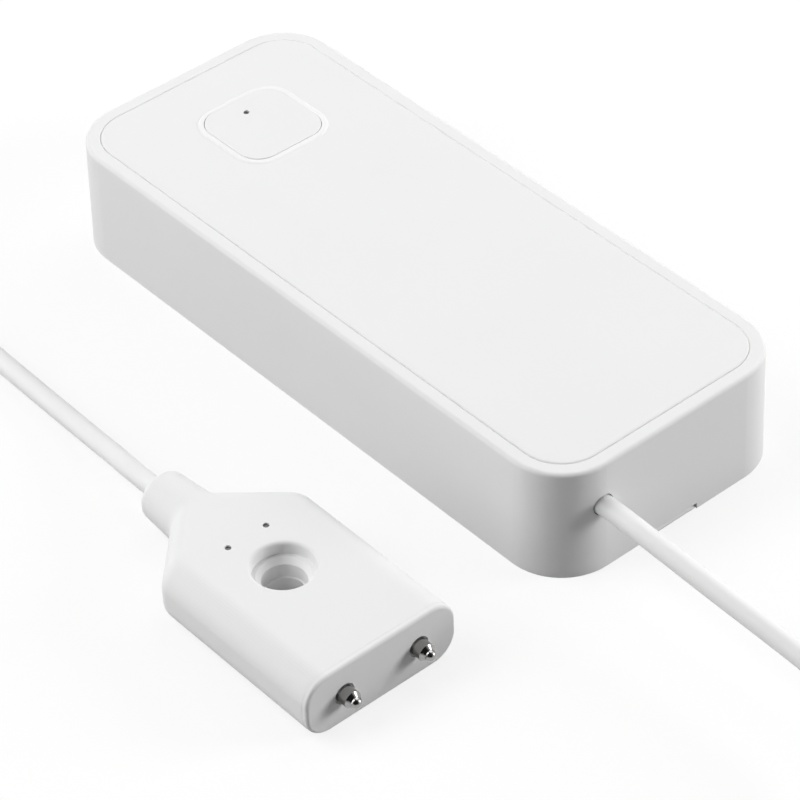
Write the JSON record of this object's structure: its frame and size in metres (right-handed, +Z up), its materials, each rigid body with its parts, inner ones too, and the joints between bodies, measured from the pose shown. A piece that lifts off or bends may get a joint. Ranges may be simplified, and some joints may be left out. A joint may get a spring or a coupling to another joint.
{
  "type": "water leak sensor",
  "caption": "Slim white water leak sensor: a rounded battery housing with a push button and light, and a cabled floor probe with metal contact pins.",
  "frame": {"origin": "middle of the housing's base, on the floor it rests on", "axes": "+X along the housing toward the end that the cable leaves, +Z up, and the probe lies beside the housing toward -Y"},
  "size_m": [0.1418, 0.1146, 0.0154],
  "materials": {
    "housing_white": "satin moulded",
    "panel_white": "satin moulded",
    "button_white": "satin moulded",
    "probe_white": "satin moulded",
    "cable_white": "soft jacket",
    "tray_grey": "satin moulded",
    "steel": "plated",
    "pin_metal": "polished",
    "board_green": "solder mask",
    "radio_green": "solder mask",
    "dark_plastic": "satin moulded",
    "clear_pipe": "clear moulded",
    "led_pale": "clear lens",
    "header_ivory": "satin moulded",
    "wire_jacket": "soft jacket",
    "cell_can": "plain printed sleeve without text",
    "copper": "tinned wire",
    "strap_grey": "soft strap"
  },
  "bodies": {
    "housing": {"housing_shell": "housing_white", "top_panel": "panel_white", "battery_tray": "tray_grey", "tray_screws": "steel", "circuit_board": "board_green", "board_screws": "steel", "radio_module": "radio_green", "radio_shield": "steel", "switch_body": "dark_plastic", "status_led": "led_pale", "cable_header": "header_ivory", "cable_plug": "header_ivory", "signal_wires": "wire_jacket", "cable_inner": "cable_white", "cable_stop": "dark_plastic", "cell_rear": "cell_can", "cell_front": "cell_can", "contact_link": "steel", "contact_positive": "steel", "contact_negative": "steel", "contact_springs": "steel", "probe_shell": "probe_white", "probe_end_plate": "probe_white", "probe_pins": "pin_metal", "drip_contacts": "pin_metal", "probe_leads": "copper", "probe_tail": "cable_white", "cable_lead": "cable_white", "cable_coil": "cable_white", "cable_return": "cable_white", "cable_strap": "strap_grey"},
    "button": {"button_cap": "button_white", "light_pipe": "clear_pipe", "switch_plunger": "dark_plastic"},
    "cover": {"bottom_cover": "housing_white"}
  },
  "joints": [
    {"name": "button_press", "type": "slide", "parent": "housing", "child": "button", "axis": [0, 0, -1], "range_m": [0, 0.0004], "stiffness_N_per_m": 2000, "springref_m": -0.0004},
    {"name": "cover_removal", "type": "slide", "parent": "housing", "child": "cover", "axis": [0, 0, -1], "range_m": [0, 0.03]}
  ]
}
